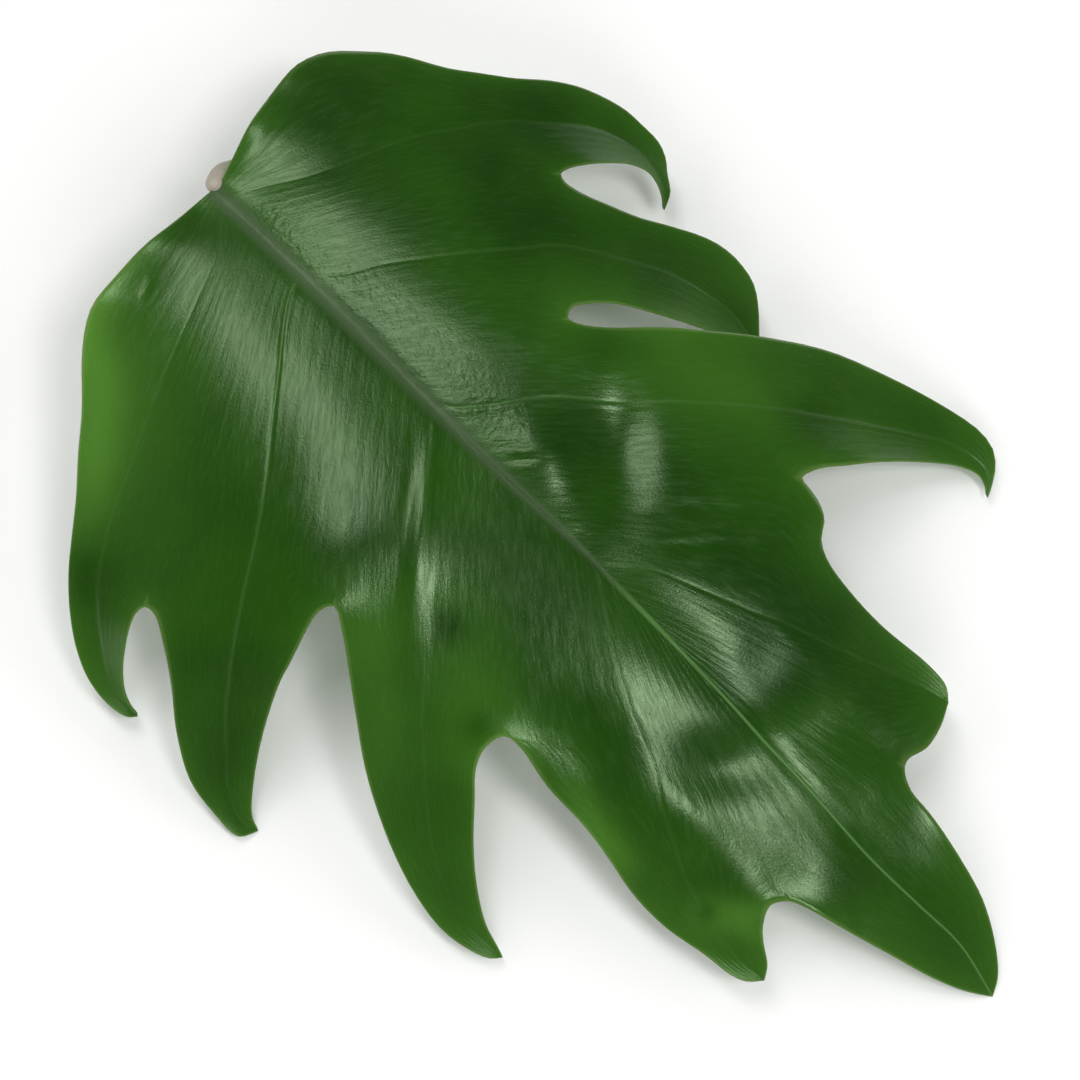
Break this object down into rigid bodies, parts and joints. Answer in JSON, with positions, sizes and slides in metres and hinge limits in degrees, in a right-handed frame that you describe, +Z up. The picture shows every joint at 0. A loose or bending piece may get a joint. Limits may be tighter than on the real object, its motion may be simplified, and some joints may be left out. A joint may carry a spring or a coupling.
{
  "type": "tree philodendron leaf",
  "caption": "Deeply lobed, arched tree philodendron leaf with a raised midrib, side veins and a cut stalk, lying on its tips as picked foliage.",
  "frame": {"origin": "middle of the leaf's box in plan, on the surface that the leaf lies on", "axes": "+X runs along the midrib to the leaf's tip, +Z is up and faces the blade's glossy upper side, +Y points to the side that the stalk props up"},
  "size_m": [0.3527, 0.2581, 0.06],
  "materials": {
    "leaf": "semi-gloss dark green upper side, paler matte underside",
    "stalk": "smooth, dull grey-green"
  },
  "bodies": {
    "root": {"leaf_blade": "leaf", "petiole": "stalk"}
  },
  "joints": []
}
